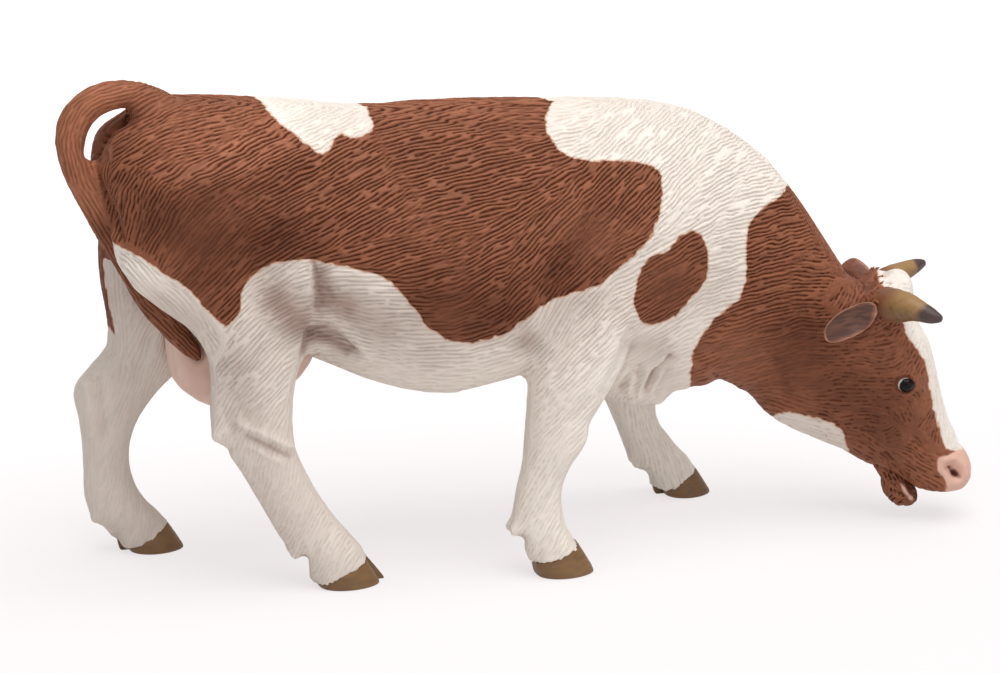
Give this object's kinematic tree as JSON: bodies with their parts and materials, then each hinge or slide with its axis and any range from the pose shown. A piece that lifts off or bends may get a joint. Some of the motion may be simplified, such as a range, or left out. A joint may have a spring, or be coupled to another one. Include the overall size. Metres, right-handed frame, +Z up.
{
  "type": "cow figurine",
  "caption": "Grazing cow figurine with a lowered, turned head, arched tail and striding legs, put together from moulded pieces that plug into each other, standing on cloven hooves.",
  "frame": {"origin": "on the ground, under the middle of the whole figure's box", "axes": "+X along the trunk towards the head, +Y to the cow's left, +Z up"},
  "size_m": [0.1364, 0.041, 0.074],
  "materials": {
    "brown_coat": "chestnut brown paint with white patches over moulded hair, matt",
    "white_coat": "off-white paint with a thin grey wash in the hair grooves, matt",
    "pink_skin": "pink-beige skin paint, matt",
    "horn": "olive-tan paint with a dark tip, satin",
    "hoof": "olive-brown paint, satin",
    "eye": "black, clear gloss"
  },
  "bodies": {
    "root": {"torso_right": "brown_coat", "torso_left": "brown_coat", "head_and_neck": "brown_coat", "lower_jaw": "brown_coat", "right_ear": "brown_coat", "left_ear": "brown_coat", "tail": "brown_coat", "right_hind_leg": "white_coat", "left_hind_leg": "white_coat", "right_fore_leg": "white_coat", "left_fore_leg": "white_coat", "udder": "pink_skin", "right_horn": "horn", "left_horn": "horn", "right_hind_hoof": "hoof", "left_hind_hoof": "hoof", "right_fore_hoof": "hoof", "left_fore_hoof": "hoof", "right_eye": "eye", "left_eye": "eye"}
  },
  "joints": []
}
